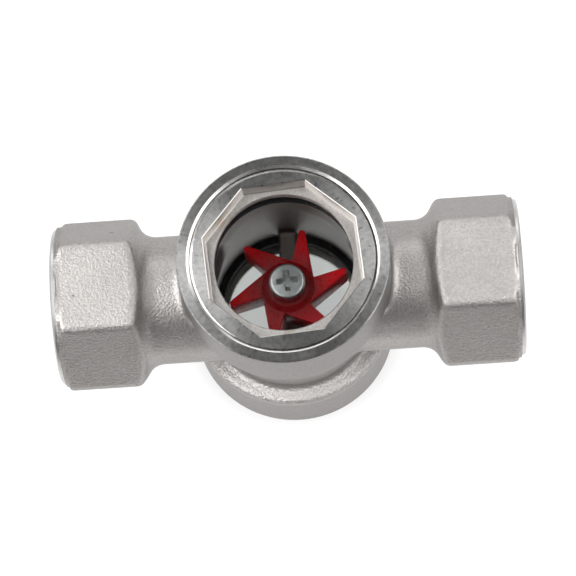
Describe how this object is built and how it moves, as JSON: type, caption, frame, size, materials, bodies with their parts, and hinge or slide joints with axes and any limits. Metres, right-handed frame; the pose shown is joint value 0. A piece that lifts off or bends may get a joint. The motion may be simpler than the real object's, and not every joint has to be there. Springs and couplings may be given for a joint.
{
  "type": "flow sight glass",
  "caption": "Cast in-line flow sight glass with screwed round windows, hexagon threaded ends and a spinning bladed flow indicator in the chamber between the windows.",
  "frame": {"origin": "where the pipe axis crosses the window axis, at the centre of the body", "axes": "X along the pipe, Z along the window axis and the impeller's pivot with the screw head up, Y across both"},
  "size_m": [0.1022, 0.0454, 0.058],
  "materials": {
    "cast_steel": "investment cast and bead blasted, satin",
    "turned_steel": "turned bright, with fine turning marks",
    "window_glass": "polished",
    "black_rubber": "matt",
    "red_plastic": "moulded, slightly translucent",
    "bearing_steel": "ground",
    "zinc_steel": "zinc plated"
  },
  "bodies": {
    "housing": {"body_casting": "cast_steel", "upper_retaining_ring": "turned_steel", "lower_retaining_ring": "turned_steel", "upper_glass": "window_glass", "lower_glass": "window_glass", "upper_cushion_gasket": "black_rubber", "lower_cushion_gasket": "black_rubber", "upper_seat_gasket": "black_rubber", "lower_seat_gasket": "black_rubber", "pivot_sleeve": "bearing_steel", "lower_thrust_washer": "bearing_steel", "upper_thrust_washer": "bearing_steel", "pivot_screw": "zinc_steel"},
    "rotor": {"impeller": "red_plastic"}
  },
  "joints": [
    {"name": "impeller_spin", "type": "hinge", "parent": "housing", "child": "rotor", "pos_m": [0, 0, 0], "axis": [0, 0, 1], "continuous": true}
  ]
}
